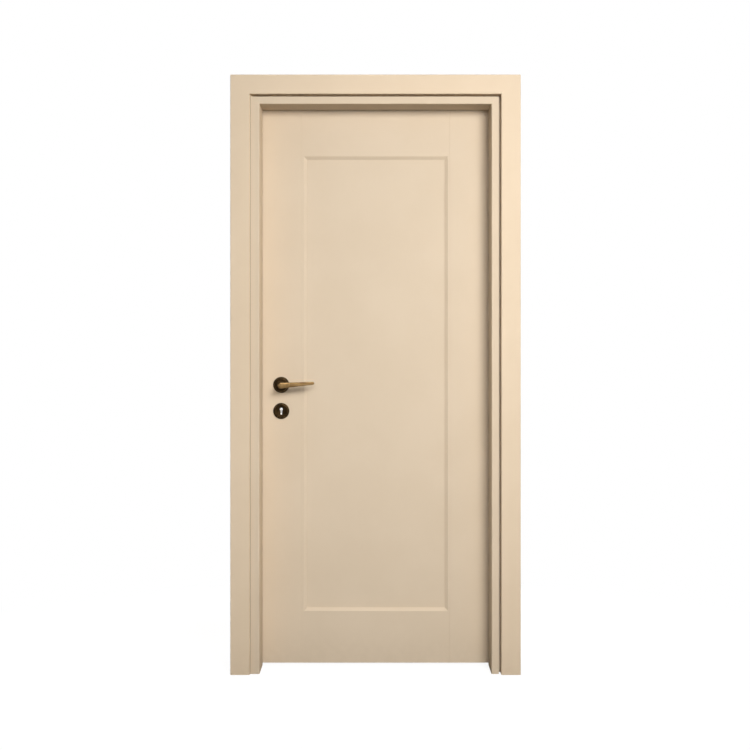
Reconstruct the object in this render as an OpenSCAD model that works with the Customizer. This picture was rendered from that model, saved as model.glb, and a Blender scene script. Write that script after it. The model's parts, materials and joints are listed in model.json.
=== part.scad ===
// Interior door: a panelled leaf in a rebated frame, with grooved casings on both sides of the wall.
// The origin is at floor level on the back of the hinge jamb, midway through the wall. The door runs
// to -X, its front faces -Y and the leaf swings away to +Y. Lengths are in millimetres.

/* [Door leaf] */
// Width of the leaf
leaf_width = 830; // [760:1:950]
// Height of the leaf
leaf_height = 1998; // [1850:1:2200]
// Thickness of the leaf
leaf_thickness = 40; // [38:1:48]
// Width of each upright stile
stile_width = 149; // [125:1:170]
// Height of the top rail
top_rail_height = 169; // [100:1:260]
// Height of the bottom rail
bottom_rail_height = 179; // [120:1:320]
// Rounding of the leaf's outer arrises
leaf_arris = 1.5; // [0.5:0.1:3]
// Chamfer beside each joint between a stile and what meets it
joint_chamfer = 0.7; // [0.3:0.1:1.2]

/* [Centre panel] */
// Depth of the panel's face below the face of the stiles
panel_recess = 8; // [5:0.5:10]
// Flat margin of a bead, beside the stile
bead_margin = 6.5; // [3:0.5:10]
// Width of a bead's sloping face
bead_slope = 11; // [8:0.5:20]
// Height of a bead's square edge on the panel
bead_edge = 1.5; // [0.5:0.1:2.5]
// Thickness of the tongues in the leaf's joinery
tongue_thickness = 12; // [8:0.5:15]
// Length of the tongues in the leaf's joinery
tongue_length = 9; // [6:0.5:14]
// Space around a tongue in its groove
tongue_clearance = 0.2; // [0.1:0.05:0.4]

/* [Frame] */
// Thickness of the jambs and the head
jamb_thickness = 44; // [42:1:60]
// Depth of the frame through the wall
jamb_depth = 140; // [120:1:200]
// Width of the rebate that takes the leaf's edge
rebate_width = 15; // [12:0.5:18]
// Gap between the leaf and the rebate on the hinge side
hinge_gap = 5; // [4:0.5:6]
// Gap between the leaf and the rebate on the lock side
lock_gap = 7; // [6:0.5:8]
// Gap between the leaf and the rebate at the top
head_gap = 5; // [3:0.5:8]
// Gap between the leaf and the floor
floor_gap = 7; // [4:0.5:15]
// Gap between the leaf and the stop, which the seal fills
seal_gap = 5; // [4:0.5:7]
// Rounding of the frame's front arris
frame_arris = 4; // [1:0.5:8]
// Rounding of the rebate's rear arris
rebate_arris = 1.5; // [0.5:0.1:3]

/* [Seal] */
// Width of the seal's foot on the stop
seal_width = 6.5; // [5:0.5:7]
// Distance of the seal's foot from the frame's front arris
seal_inset = 2; // [1:0.5:3]
// Thickness of the seal's barb in its kerf
seal_barb = 2.5; // [1.5:0.5:4]
// Depth of the kerf that holds the barb
kerf_depth = 6; // [4:0.5:9]
// Space between the seal and the closed leaf
seal_clearance = 0.3; // [0.2:0.05:0.5]

/* [Casing] */
// Width of a casing board
casing_width = 68; // [50:1:100]
// Thickness of a casing board
casing_thickness = 10; // [8:0.5:12]
// Distance of a casing's inner edge from the frame's arris
casing_inner = 33; // [30:0.5:34]
// Width of the open gap beside a casing, at the hinge side and the head
shadow_gap = 7.5; // [4:0.5:9]
// Depth of the groove that takes a casing's tongue
casing_groove_depth = 22; // [18:0.5:28]
// Thickness of a casing's tongue
casing_tongue_thickness = 5.7; // [4:0.1:6]
// Length of a casing's tongue
casing_tongue_length = 20; // [12:0.5:22]
// Space between the tongue and the walls of its groove
casing_tongue_clearance = 0.3; // [0.2:0.05:0.5]
// Rounding of a casing's inner arris
casing_inner_arris = 3.5; // [1:0.5:6]
// Rounding of a casing's outer arris
casing_outer_arris = 2; // [0.5:0.5:4]

/* [Hinges] */
// Length of each hinge
hinge_length = 100; // [75:1:125]
// Distance of the end hinges' middles from the ends of the leaf
hinge_end_distance = 220; // [150:1:350]
// Width of a hinge plate let into the wood
hinge_plate_width = 32; // [24:1:34]
// Thickness of a hinge plate
hinge_plate_thickness = 2.5; // [2:0.1:3]
// Radius of the knuckles
knuckle_radius = 6; // [5.5:0.1:6.2]
// Radius of the pins
pin_radius = 3; // [2.5:0.1:3.5]
// Radial space around a pin in the leaf's knuckles
pin_clearance = 0.1; // [0.05:0.01:0.15]
// Space between neighbouring knuckles
knuckle_gap = 0.4; // [0.2:0.1:0.8]
// Height of the cap on each end of a pin
pin_cap_height = 2; // [1:0.5:4]
// Step in radius from a knuckle to the pin's cap, and from the cap to its dome
pin_cap_step = 1; // [0.5:0.1:1.2]
// Distance of the hinge axis behind the leaf's rear face
hinge_axis_offset = 6.5; // [6.5:0.1:8]

/* [Lock] */
// Height of the spindle above the floor
spindle_height = 1007; // [950:1:1100]
// Distance of the spindle and the keyhole from the leaf's lock edge
backset = 75; // [60:1:85]
// Distance of the keyhole below the spindle
key_drop = 94; // [72:1:100]
// Thickness of the lock case
case_thickness = 15; // [14:0.5:18]
// Height of the lock case above the spindle
case_above = 45; // [30:1:60]
// Depth of the lock case past the spindle
case_past_spindle = 22; // [15:1:30]
// Height of the lock case below the keyhole
case_below_key = 32; // [28:1:50]
// Width of the forend plate
forend_width = 20; // [18:1:24]
// Thickness of the forend plate
forend_thickness = 3; // [2:0.5:4]
// Length of the forend past each end of the lock case
forend_overhang = 32; // [24:1:45]
// Thickness and height of the latch bolt
latch_size = [11, 20]; // [8:0.5:30]
// Length of the latch bolt
latch_length = 42; // [30:1:48]
// Thickness left beside the latch's bevel
latch_flat = 2; // [1:0.5:4]
// Thickness and height of the dead bolt
bolt_size = [10, 28]; // [8:0.5:40]
// Length of the dead bolt
bolt_length = 48; // [40:1:52]
// Space around each bolt in the case
bolt_clearance = 0.3; // [0.2:0.05:0.5]
// Space around the spindle's corners in the lock case
follower_clearance = 0.7; // [0.3:0.1:1.5]
// Thickness of the strike plate
strike_thickness = 2; // [1.5:0.5:3]
// Width of the strike plate
strike_width = 24; // [22:1:28]
// Space around the bolts in the strike plate's holes
strike_hole_margin = 2; // [1:0.5:3]
// Depth of the pockets behind the strike plate
strike_pocket_depth = 8; // [5:0.5:9]
// Space around a plate that is let into the wood
let_in_clearance = 0.3; // [0.2:0.05:0.5]

/* [Keyhole] */
// Radius of the keyhole's round head
key_head_radius = 5.5; // [4:0.5:7]
// Width of the keyhole's slot
key_slot_width = 6.5; // [5:0.5:8]
// Height of the head's centre above the escutcheon's centre
key_head_rise = 6.5; // [4:0.5:10]
// Depth of the slot's foot below the escutcheon's centre
key_slot_drop = 13; // [8:0.5:16]

/* [Handles] */
// Radius of the rosettes and the key escutcheons
rosette_radius = 29; // [24:0.5:32]
// Height and rounding of their rims
rosette_rim = [4.5, 2]; // [1:0.5:6]
// Width of their rims around the raised middle
rosette_rim_width = 4.5; // [3:0.5:8]
// Height and rounding of a rosette's raised middle
rosette_middle = [9, 4]; // [3:0.5:12]
// Height and rounding of a key escutcheon's raised middle
escutcheon_middle = [7, 1.5]; // [1:0.5:10]
// Radius of the collar around a lever's neck
collar_radius = 13; // [12:0.5:18]
// Height and rounding of the collar
collar_size = [12, 1.5]; // [1:0.5:16]
// Radius of a lever's neck
neck_radius = 7.5; // [7:0.5:10]
// Distance of a neck's inner end from the leaf's face
neck_start = 1; // [0.5:0.5:3]
// Radial space around a neck in its rosette
neck_clearance = 0.25; // [0.15:0.05:0.5]
// Distance of a lever's front from the leaf's face
lever_projection = 62; // [52:1:72]
// Distance of a lever's tip from the spindle
lever_reach = 122; // [100:1:140]
// Radius and thickness of a lever at its root
lever_root = [10, 14]; // [8:0.5:16]
// Distance of the root's centre from the spindle towards the tip
lever_root_shift = 2.5; // [0:0.5:4]
// Radius and thickness of a lever at its tip
lever_tip = [5, 8]; // [2.5:0.5:10]
// Height of a lever's tip above the spindle
lever_tip_rise = 8; // [0:0.5:12]
// Set-back of the tip's front from the root's front
lever_tip_setback = 5; // [0:0.5:10]
// Rounding of a lever's edges at its root
lever_rounding = 3; // [1:0.5:4]
// Side of the square spindle
spindle_side = 8; // [7:0.5:9]
// Length of the spindle beyond each face of the leaf
spindle_beyond = 28; // [20:1:34]
// Space around the spindle in the levers' sockets
socket_clearance = 0.1; // [0.05:0.05:0.3]

/* [Hidden] */
$fn = 48;
// Overshoot of a cut past the face that it opens
cut = 1;
hull_facets = 32;

leaf_rear_y = jamb_depth / 2;
leaf_front_y = leaf_rear_y - leaf_thickness;
leaf_mid_y = (leaf_front_y + leaf_rear_y) / 2;
stop_y = leaf_front_y - seal_gap;

hinge_rebate_x = rebate_width - jamb_thickness;
leaf_hinge_x = hinge_rebate_x - hinge_gap;
leaf_lock_x = leaf_hinge_x - leaf_width;
lock_rebate_x = leaf_lock_x - lock_gap;
clear_right_x = -jamb_thickness;
clear_left_x = lock_rebate_x + rebate_width;
clear_width = clear_right_x - clear_left_x;

leaf_bottom_z = floor_gap;
leaf_top_z = floor_gap + leaf_height;
clear_height = leaf_top_z + head_gap - rebate_width;

panel_right_x = leaf_hinge_x - stile_width;
panel_left_x = leaf_lock_x + stile_width;
panel_width = panel_right_x - panel_left_x;
panel_bottom_z = leaf_bottom_z + bottom_rail_height;
panel_top_z = leaf_top_z - top_rail_height;
panel_height = panel_top_z - panel_bottom_z;
panel_thickness = leaf_thickness - 2 * panel_recess;
groove_depth = tongue_length + tongue_clearance;
groove_width = tongue_thickness + 2 * tongue_clearance;

hinge_axis_x = hinge_rebate_x - hinge_gap / 2;
hinge_axis_y = leaf_rear_y + hinge_axis_offset;
bottom_hinge_z = leaf_bottom_z + hinge_end_distance;
top_hinge_z = leaf_top_z - hinge_end_distance;
middle_hinge_z = (bottom_hinge_z + top_hinge_z) / 2;
knuckle_count = 5;
knuckle_length = (hinge_length - (knuckle_count - 1) * knuckle_gap) / knuckle_count;

spindle_x = leaf_lock_x + backset;
key_z = spindle_height - key_drop;
case_top_z = spindle_height + case_above;
case_bottom_z = key_z - case_below_key;
case_height = case_top_z - case_bottom_z;
case_mid_z = (case_top_z + case_bottom_z) / 2;
case_depth = backset + case_past_spindle;
forend_length = case_height + 2 * forend_overhang;
strike_length = key_drop + 2 * forend_overhang + latch_size[1];
strike_mid_z = (spindle_height + key_z) / 2;
spindle_hole_radius = neck_radius;
follower_radius = spindle_side / sqrt(2) + follower_clearance;

paint = "#f4e3c8";
bronze = "#33261a";
antique_brass = "#8b6d3e";
steel = "#9a9a98";
rubber = "#2b2a28";

// Shared shapes

// Waste to take off a square corner at the origin, so that it is rounded to the radius.
// The material lies in the +X +Y quarter.
module corner_waste(radius) {
    difference() {
        translate([-cut, -cut]) square(radius + cut);
        translate([radius, radius]) circle(radius);
    }
}

// A bar along +Z whose section is the 2D child, from z = 0 to z = length where x = 0.
// A splay of 1 lets an end grow with x at 45 degrees, -1 makes it shrink, and 0 leaves it square.
module bar(length, bottom_splay, top_splay, reach) {
    difference() {
        translate([0, 0, -reach * max(bottom_splay, 0)])
            linear_extrude(length + reach * (max(bottom_splay, 0) + max(top_splay, 0)))
                children();
        if (bottom_splay != 0)
            rotate([0, 45 * bottom_splay, 0])
                translate([-2 * reach, -jamb_depth, -2 * reach])
                    cube([4 * reach, 2 * jamb_depth, 2 * reach]);
        if (top_splay != 0)
            translate([0, 0, length])
                rotate([0, -45 * top_splay, 0])
                    translate([-2 * reach, -jamb_depth, 0])
                        cube([4 * reach, 2 * jamb_depth, 2 * reach]);
    }
}

// Places of a frame member: the child's x runs outwards from the clear opening's edge.
module on_hinge_side() {
    translate([clear_right_x, 0, 0]) children();
}

module on_lock_side() {
    translate([clear_left_x, 0, 0]) mirror([1, 0, 0]) children();
}

module on_head() {
    translate([clear_right_x, 0, clear_height]) rotate([0, -90, 0]) children();
}

// The same shape on the other face of the leaf
module on_rear_face() {
    translate([0, 2 * leaf_mid_y, 0]) mirror([0, 1, 0]) children();
}

// The child's x, y and z become sideways, upwards and out of the leaf's front face.
module on_front_face(x, z) {
    translate([x, leaf_front_y, z]) rotate([90, 0, 0]) children();
}

// The child's x, y and z become Y, Z and X.
module on_edge(x, z) {
    translate([x, leaf_mid_y, z]) rotate([90, 0, 90]) children();
}

// Frame

// Section of a jamb or the head, with x outwards from the clear opening and the given width of
// groove beside the casing's inner edge
module frame_section(open_width) {
    difference() {
        translate([0, -jamb_depth / 2]) square([jamb_thickness, jamb_depth]);
        translate([-cut, stop_y]) square([rebate_width + cut, jamb_depth]);
        for (face = [0, 1])
            mirror([0, face])
                translate([casing_inner - open_width, -jamb_depth / 2 - cut])
                    square([open_width + casing_tongue_thickness + casing_tongue_clearance,
                        casing_groove_depth + cut]);
        translate([0, -jamb_depth / 2]) corner_waste(frame_arris);
        translate([rebate_width, jamb_depth / 2]) mirror([0, 1]) corner_waste(rebate_arris);
        translate([seal_inset + (seal_width - seal_barb) / 2, stop_y - kerf_depth])
            square([seal_barb, kerf_depth + cut]);
    }
}

// Section of a casing in front of the frame
module casing_section() {
    translate([casing_inner, -jamb_depth / 2])
        difference() {
            union() {
                translate([0, -casing_thickness]) square([casing_width, casing_thickness]);
                translate([0, -casing_thickness / 2])
                    square([casing_tongue_thickness, casing_thickness / 2 + casing_tongue_length]);
            }
            translate([0, -casing_thickness]) corner_waste(casing_inner_arris);
            translate([casing_width, -casing_thickness]) mirror([1, 0]) corner_waste(casing_outer_arris);
        }
}

// Section of a seal on the stop: a foot, a barb in the kerf and a round bulb towards the leaf
module seal_section() {
    bulb_radius = (seal_gap - seal_clearance) / 2;
    translate([seal_inset, stop_y]) {
        square([seal_width, bulb_radius]);
        translate([(seal_width - seal_barb) / 2, -kerf_depth]) square([seal_barb, kerf_depth + bulb_radius]);
        translate([seal_width / 2, bulb_radius]) circle(bulb_radius);
    }
}

module frame_upright(open_width) {
    bar(clear_height, 0, 1, jamb_thickness) frame_section(open_width);
}

module casing_upright() {
    bar(clear_height, 0, 1, casing_inner + casing_width) casing_section();
}

module casing_head() {
    bar(clear_width, 1, 1, casing_inner + casing_width) casing_section();
}

// Jambs, with what is cut into them for the hinges and the lock
module hinge_jamb() {
    color(paint)
        difference() {
            on_hinge_side() frame_upright(shadow_gap);
            for (z = [bottom_hinge_z, middle_hinge_z, top_hinge_z]) hinge_recess(z, 1);
        }
}

module lock_jamb() {
    color(paint)
        difference() {
            on_lock_side() frame_upright(casing_tongue_clearance);
            on_edge(lock_rebate_x - strike_thickness, strike_mid_z)
                linear_extrude(strike_thickness + cut) strike_outline(let_in_clearance);
            on_edge(lock_rebate_x - strike_thickness - strike_pocket_depth, strike_mid_z)
                linear_extrude(strike_pocket_depth + cut) strike_holes();
        }
}

module head_jamb() {
    color(paint) on_head() bar(clear_width, 1, 1, jamb_thickness) frame_section(shadow_gap);
}

module front_casing_hinge_side() {
    color(paint) on_hinge_side() casing_upright();
}

module front_casing_lock_side() {
    color(paint) on_lock_side() casing_upright();
}

module front_casing_head() {
    color(paint) on_head() casing_head();
}

module rear_casing_hinge_side() {
    color(paint) mirror([0, 1, 0]) on_hinge_side() casing_upright();
}

module rear_casing_lock_side() {
    color(paint) mirror([0, 1, 0]) on_lock_side() casing_upright();
}

module rear_casing_head() {
    color(paint) mirror([0, 1, 0]) on_head() casing_head();
}

module hinge_side_seal() {
    color(rubber) on_hinge_side() bar(clear_height, 0, 1, jamb_thickness) seal_section();
}

module lock_side_seal() {
    color(rubber) on_lock_side() bar(clear_height, 0, 1, jamb_thickness) seal_section();
}

module head_seal() {
    color(rubber) on_head() bar(clear_width, 1, 1, jamb_thickness) seal_section();
}

// Leaf

// Section of a stile, with x inwards from the leaf's edge and y from its front face
module stile_section() {
    difference() {
        square([stile_width, leaf_thickness]);
        for (side = [0, 1])
            translate([0, side * leaf_thickness])
                mirror([0, side]) {
                    corner_waste(leaf_arris);
                    translate([stile_width, 0])
                        polygon([[-joint_chamfer, 0], [-joint_chamfer, -cut], [cut, -cut],
                            [cut, joint_chamfer], [0, joint_chamfer]]);
                }
        translate([stile_width - groove_depth, (leaf_thickness - groove_width) / 2])
            square([groove_depth + cut, groove_width]);
    }
}

module hinge_stile() {
    color(paint)
        difference() {
            translate([leaf_hinge_x, leaf_front_y, leaf_bottom_z])
                mirror([1, 0, 0]) linear_extrude(leaf_height) stile_section();
            for (z = [bottom_hinge_z, middle_hinge_z, top_hinge_z]) hinge_recess(z, -1);
        }
}

module lock_stile() {
    color(paint)
        difference() {
            translate([leaf_lock_x, leaf_front_y, leaf_bottom_z])
                linear_extrude(leaf_height) stile_section();
            on_edge(leaf_lock_x - cut, case_mid_z)
                linear_extrude(forend_thickness + cut)
                    stadium(forend_width + 2 * let_in_clearance, forend_length + 2 * let_in_clearance);
            translate([leaf_lock_x, leaf_mid_y - case_thickness / 2 - let_in_clearance,
                case_bottom_z - let_in_clearance])
                cube([case_depth + let_in_clearance, case_thickness + 2 * let_in_clearance,
                    case_height + 2 * let_in_clearance]);
            on_front_face(spindle_x, spindle_height)
                translate([0, 0, -leaf_thickness - cut])
                    cylinder(r = spindle_hole_radius, h = leaf_thickness + 2 * cut);
            on_front_face(spindle_x, key_z)
                translate([0, 0, -leaf_thickness - cut])
                    linear_extrude(leaf_thickness + 2 * cut) keyhole(tongue_clearance);
        }
}

// A rail between the stiles, with a tongue at each end and a groove for the panel
module rail(bottom_z, height, groove_at_top) {
    groove_z = groove_at_top ? height - groove_depth : -cut;
    translate([panel_left_x, leaf_front_y, bottom_z])
        difference() {
            union() {
                cube([panel_width, leaf_thickness, height]);
                translate([-tongue_length, (leaf_thickness - tongue_thickness) / 2, 0])
                    cube([panel_width + 2 * tongue_length, tongue_thickness, height]);
            }
            translate([-tongue_length - cut, (leaf_thickness - groove_width) / 2, groove_z])
                cube([panel_width + 2 * tongue_length + 2 * cut, groove_width, groove_depth + cut]);
        }
}

module top_rail() {
    color(paint) rail(panel_top_z, top_rail_height, false);
}

module bottom_rail() {
    color(paint) rail(leaf_bottom_z, bottom_rail_height, true);
}

module centre_panel() {
    color(paint) {
        translate([panel_left_x + tongue_clearance, leaf_mid_y - panel_thickness / 2,
            panel_bottom_z + tongue_clearance])
            cube([panel_width - 2 * tongue_clearance, panel_thickness, panel_height - 2 * tongue_clearance]);
        translate([panel_left_x - tongue_length, leaf_mid_y - tongue_thickness / 2,
            panel_bottom_z - tongue_length])
            cube([panel_width + 2 * tongue_length, tongue_thickness, panel_height + 2 * tongue_length]);
    }
}

// Section of a bead, with x inwards from the stile or rail and y from the leaf's face
module bead_section() {
    polygon([[0, 0], [bead_margin, 0], [bead_margin + bead_slope, panel_recess - bead_edge],
        [bead_margin + bead_slope, panel_recess], [0, panel_recess]]);
}

module bead(length) {
    bar(length, -1, -1, bead_margin + bead_slope) bead_section();
}

module bead_hinge_side() {
    color(paint)
        translate([panel_right_x, leaf_front_y, panel_bottom_z]) mirror([1, 0, 0]) bead(panel_height);
}

module bead_lock_side() {
    color(paint) translate([panel_left_x, leaf_front_y, panel_bottom_z]) bead(panel_height);
}

module bead_top() {
    color(paint)
        translate([panel_left_x, leaf_front_y, panel_top_z]) rotate([0, 90, 0]) bead(panel_width);
}

module bead_bottom() {
    color(paint)
        translate([panel_right_x, leaf_front_y, panel_bottom_z]) rotate([0, -90, 0]) bead(panel_width);
}

// Hinges

// Recess for one hinge plate. The side is 1 in the jamb and -1 in the leaf.
module hinge_recess(mid_z, side) {
    translate([hinge_axis_x, hinge_axis_y, mid_z])
        mirror([(1 - side) / 2, 0, 0])
            translate([hinge_gap / 2 - cut, -hinge_axis_offset - hinge_plate_width - let_in_clearance,
                -hinge_length / 2 - let_in_clearance])
                cube([hinge_plate_thickness + cut, hinge_plate_width + let_in_clearance + cut,
                    hinge_length + 2 * let_in_clearance]);
}

// One plate with the knuckles of the given numbers, from the hinge's middle
module hinge_plate(side, numbers) {
    mirror([(1 - side) / 2, 0, 0])
        translate([0, 0, -hinge_length / 2]) {
            translate([hinge_gap / 2, -hinge_axis_offset - hinge_plate_width, 0])
                cube([hinge_plate_thickness, hinge_plate_width, hinge_length]);
            for (number = numbers)
                translate([0, 0, number * (knuckle_length + knuckle_gap)])
                    linear_extrude(knuckle_length) {
                        circle(knuckle_radius);
                        translate([hinge_gap / 2, -hinge_axis_offset - cut])
                            square([hinge_plate_thickness, hinge_axis_offset + cut]);
                    }
        }
}

// The pin, with a rounded cap on each end
module hinge_pin() {
    cap_radius = knuckle_radius - pin_cap_step;
    translate([0, 0, -hinge_length / 2 - pin_cap_height])
        cylinder(r = pin_radius, h = hinge_length + 2 * pin_cap_height);
    for (end = [0, 1])
        mirror([0, 0, end])
            translate([0, 0, hinge_length / 2]) {
                cylinder(r = cap_radius, h = pin_cap_height);
                translate([0, 0, pin_cap_height])
                    rotate_extrude()
                        intersection() {
                            circle(cap_radius - pin_cap_step);
                            square(cap_radius);
                        }
            }
}

module frame_hinge(mid_z) {
    color(steel)
        translate([hinge_axis_x, hinge_axis_y, mid_z]) {
            hinge_plate(1, [0, 2, 4]);
            hinge_pin();
        }
}

module door_hinge(mid_z) {
    color(steel)
        translate([hinge_axis_x, hinge_axis_y, mid_z])
            difference() {
                hinge_plate(-1, [1, 3]);
                translate([0, 0, -hinge_length / 2 - cut])
                    cylinder(r = pin_radius + pin_clearance, h = hinge_length + 2 * cut);
            }
}

// Lock

// A plate's outline with half-round ends, upright and centred
module stadium(width, length) {
    square([width, length - width], center = true);
    for (end = [-1, 1])
        translate([0, end * (length - width) / 2]) circle(width / 2);
}

// Outline of the strike plate, with a lip that leads the latch in from the rear
module strike_outline(margin) {
    stadium(strike_width + 2 * margin, strike_length + 2 * margin);
    translate([0, spindle_height - strike_mid_z - latch_size[1] / 2 - strike_hole_margin - margin])
        square([leaf_thickness / 2 - rebate_arris + margin,
            latch_size[1] + 2 * (strike_hole_margin + margin)]);
}

// Holes that take the latch and the dead bolt, centred on the strike plate
module strike_holes() {
    translate([0, spindle_height - strike_mid_z])
        square([latch_size[0] + 2 * strike_hole_margin, latch_size[1] + strike_hole_margin], center = true);
    translate([0, key_z - strike_mid_z])
        square([bolt_size[0] + 2 * strike_hole_margin, bolt_size[1] + 2 * strike_hole_margin], center = true);
}

module strike_plate() {
    color(steel)
        on_edge(lock_rebate_x - strike_thickness, strike_mid_z)
            linear_extrude(strike_thickness)
                difference() {
                    strike_outline(0);
                    strike_holes();
                }
}

// The keyhole, upright about the escutcheon's centre, grown by the margin
module keyhole(margin) {
    slot_radius = key_slot_width / 2 + margin;
    translate([0, key_head_rise]) circle(key_head_radius + margin);
    translate([-slot_radius, slot_radius - key_slot_drop - margin])
        square([2 * slot_radius, key_head_rise + key_slot_drop + margin - slot_radius]);
    translate([0, slot_radius - key_slot_drop - margin]) circle(slot_radius);
}

// A bolt's block from the leaf's lock edge, grown by the margin
module bolt_block(size, length, z, margin) {
    translate([leaf_lock_x, leaf_mid_y - size[0] / 2 - margin, z - size[1] / 2 - margin])
        cube([length + margin, size[0] + 2 * margin, size[1] + 2 * margin]);
}

module lock_case() {
    color(steel)
        difference() {
            translate([leaf_lock_x + forend_thickness, leaf_mid_y - case_thickness / 2, case_bottom_z])
                cube([case_depth - forend_thickness, case_thickness, case_height]);
            bolt_block(latch_size, latch_length, spindle_height, bolt_clearance);
            bolt_block(bolt_size, bolt_length, key_z, bolt_clearance);
            on_front_face(spindle_x, spindle_height)
                translate([0, 0, -leaf_thickness]) cylinder(r = follower_radius, h = leaf_thickness);
            on_front_face(spindle_x, key_z)
                translate([0, 0, -leaf_thickness]) linear_extrude(leaf_thickness) keyhole(0);
        }
}

module lock_forend() {
    color(antique_brass)
        difference() {
            on_edge(leaf_lock_x, case_mid_z) linear_extrude(forend_thickness) stadium(forend_width, forend_length);
            translate([-cut, 0, 0]) bolt_block(latch_size, latch_length, spindle_height, bolt_clearance);
            translate([-cut, 0, 0]) bolt_block(bolt_size, bolt_length, key_z, bolt_clearance);
        }
}

// The latch, drawn back flush, bevelled on the side that meets the strike plate first
module latch_bolt() {
    bevel = latch_size[0] - latch_flat;
    color(antique_brass)
        difference() {
            bolt_block(latch_size, latch_length, spindle_height, 0);
            translate([leaf_lock_x, leaf_mid_y - latch_size[0] / 2, spindle_height - latch_size[1]])
                linear_extrude(2 * latch_size[1])
                    polygon([[-cut, -cut], [bevel + cut, -cut], [-cut, bevel + cut]]);
        }
}

module dead_bolt() {
    color(antique_brass) bolt_block(bolt_size, bolt_length, key_z, 0);
}

// Handles

// A turned step on the leaf's face, of the given radius, with [height, rounding]
module turned_step(radius, size) {
    rotate_extrude()
        difference() {
            square([radius, size[0]]);
            translate([radius, size[0]]) rotate(180) corner_waste(size[1]);
        }
}

// The rim and the raised middle that rosettes and escutcheons share
module turned_plate(middle) {
    turned_step(rosette_radius, rosette_rim);
    turned_step(rosette_radius - rosette_rim_width, middle);
}

module rosette() {
    color(bronze)
        on_front_face(spindle_x, spindle_height)
            difference() {
                union() {
                    turned_plate(rosette_middle);
                    turned_step(collar_radius, collar_size);
                }
                translate([0, 0, -cut]) cylinder(r = neck_radius + neck_clearance, h = collar_size[0] + 2 * cut);
            }
}

module key_escutcheon() {
    color(bronze)
        on_front_face(spindle_x, key_z)
            difference() {
                turned_plate(escutcheon_middle);
                translate([0, 0, -cut]) linear_extrude(escutcheon_middle[0] + 2 * cut) keyhole(0);
            }
}

// A disc of the given radius and thickness with rounded rims, its back at z = 0
module puck(size, rounding) {
    rotate_extrude($fn = hull_facets)
        difference() {
            square(size);
            translate([size[0], size[1]]) rotate(180) corner_waste(rounding);
            translate([size[0], 0]) rotate(90) corner_waste(rounding);
        }
}

// The lever: a round neck on the spindle's axis and a grip that tapers to its tip
module lever() {
    color(antique_brass)
        on_front_face(spindle_x, spindle_height)
            difference() {
                union() {
                    translate([0, 0, neck_start])
                        cylinder(r = neck_radius, h = lever_projection - lever_root[1] / 2 - neck_start);
                    hull() {
                        translate([lever_root_shift, 0, lever_projection - lever_root[1]])
                            puck(lever_root, lever_rounding);
                        translate([lever_reach - lever_tip[0], lever_tip_rise,
                            lever_projection - lever_tip_setback - lever_tip[1]])
                            puck(lever_tip, lever_tip[0] / 2);
                    }
                }
                translate([0, 0, spindle_beyond / 2])
                    cube([spindle_side + 2 * socket_clearance, spindle_side + 2 * socket_clearance,
                        spindle_beyond + 2 * cut], center = true);
            }
}

module spindle() {
    color(steel)
        translate([spindle_x, leaf_mid_y, spindle_height])
            cube([spindle_side, leaf_thickness + 2 * spindle_beyond, spindle_side], center = true);
}

// What is drawn
hinge_jamb();
lock_jamb();
head_jamb();
front_casing_hinge_side();
front_casing_lock_side();
front_casing_head();
rear_casing_hinge_side();
rear_casing_lock_side();
rear_casing_head();
hinge_side_seal();
lock_side_seal();
head_seal();
strike_plate();
frame_hinge(top_hinge_z);  // top_hinge_frame_leaf
frame_hinge(middle_hinge_z);  // middle_hinge_frame_leaf
frame_hinge(bottom_hinge_z);  // bottom_hinge_frame_leaf
hinge_stile();
lock_stile();
top_rail();
bottom_rail();
centre_panel();
bead_hinge_side();  // front_bead_hinge_side
bead_lock_side();  // front_bead_lock_side
bead_top();  // front_bead_top
bead_bottom();  // front_bead_bottom
on_rear_face() bead_hinge_side();  // rear_bead_hinge_side
on_rear_face() bead_lock_side();  // rear_bead_lock_side
on_rear_face() bead_top();  // rear_bead_top
on_rear_face() bead_bottom();  // rear_bead_bottom
door_hinge(top_hinge_z);  // top_hinge_door_leaf
door_hinge(middle_hinge_z);  // middle_hinge_door_leaf
door_hinge(bottom_hinge_z);  // bottom_hinge_door_leaf
lock_case();
lock_forend();
latch_bolt();
dead_bolt();
rosette();  // front_rosette
on_rear_face() rosette();  // rear_rosette
key_escutcheon();  // front_key_escutcheon
on_rear_face() key_escutcheon();  // rear_key_escutcheon
lever();  // front_lever
on_rear_face() lever();  // rear_lever
spindle();
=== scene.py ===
"""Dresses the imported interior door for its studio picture.

The painted woodwork keeps the solids of the frame and gets its lacquer here. The levers, the
turned rosettes, the key escutcheons, the hinges and all the screws are modelled here, and each
rides on the body that carries it. Lengths are in metres, in the frame of the solids.
"""

import json
import logging
import math
from collections.abc import Callable, Iterable, Sequence
from dataclasses import dataclass, field
from enum import Enum

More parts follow.
